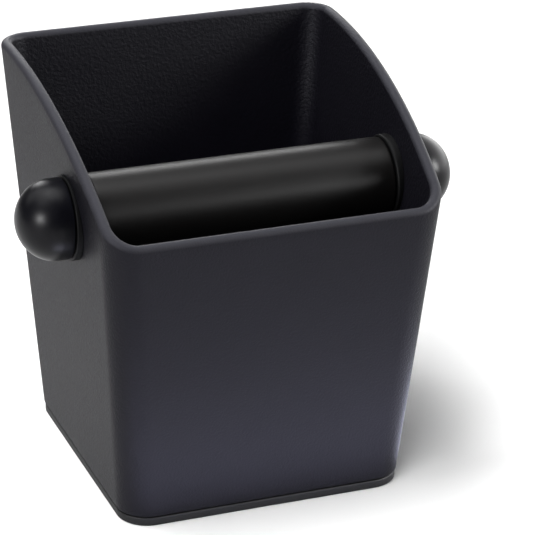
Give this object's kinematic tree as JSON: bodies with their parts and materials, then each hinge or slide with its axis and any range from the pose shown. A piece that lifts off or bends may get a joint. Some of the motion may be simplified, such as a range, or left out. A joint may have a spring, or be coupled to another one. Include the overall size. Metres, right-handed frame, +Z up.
{
  "type": "knock box",
  "caption": "Flared counter-top bin with a high back, low front, a rubber-covered knock bar across it and a domed screw knob at each end.",
  "frame": {"origin": "centre of the plan outline's bounding box, on the surface the box stands on", "axes": "+Z up, front (low rim) towards -Y, knock bar along X"},
  "size_m": [0.1756, 0.137, 0.1583],
  "materials": {
    "bin_plastic": "fine spark-eroded charcoal ABS",
    "pad_rubber": "matt moulded rubber",
    "sleeve_rubber": "smooth satin rubber",
    "knob_plastic": "satin black moulding",
    "bush_plastic": "black acetal",
    "core_steel": "turned stainless steel",
    "tube_aluminium": "drawn tube",
    "washer_steel": "stamped stainless steel",
    "insert_brass": "turned brass"
  },
  "bodies": {
    "box": {"bin": "bin_plastic", "base_pad": "pad_rubber", "left_bush": "bush_plastic", "right_bush": "bush_plastic", "left_collar": "bush_plastic", "right_collar": "bush_plastic"},
    "bar": {"bar_core": "core_steel", "bar_tube": "tube_aluminium", "bar_sleeve": "sleeve_rubber", "left_tube_plug": "bush_plastic", "right_tube_plug": "bush_plastic"},
    "left_washer_ring": {"left_washer": "washer_steel"},
    "right_washer_ring": {"right_washer": "washer_steel"},
    "left_end_knob": {"left_knob": "knob_plastic", "left_knob_insert": "insert_brass"},
    "right_end_knob": {"right_knob": "knob_plastic", "right_knob_insert": "insert_brass"}
  },
  "joints": [
    {"name": "bar_spin", "type": "hinge", "parent": "box", "child": "bar", "pos_m": [0, -0.01947, 0.1148], "axis": [1, 0, 0], "continuous": true},
    {"name": "left_knob_travel", "type": "slide", "parent": "bar", "child": "left_washer_ring", "axis": [-1, 0, 0], "range_m": [0, 0.0113]},
    {"name": "left_knob_turn", "type": "hinge", "parent": "left_washer_ring", "child": "left_end_knob", "pos_m": [0, -0.01947, 0.1148], "axis": [-1, 0, 0], "range_deg": [0, 3240]},
    {"name": "right_knob_travel", "type": "slide", "parent": "bar", "child": "right_washer_ring", "axis": [1, 0, 0], "range_m": [0, 0.0113]},
    {"name": "right_knob_turn", "type": "hinge", "parent": "right_washer_ring", "child": "right_end_knob", "pos_m": [0, -0.01947, 0.1148], "axis": [1, 0, 0], "range_deg": [0, 3240]}
  ],
  "couplings": [
    {"joint": "left_knob_travel", "follows": "left_knob_turn", "m_per_rad": 0.00019894},
    {"joint": "right_knob_travel", "follows": "right_knob_turn", "m_per_rad": 0.00019894}
  ]
}
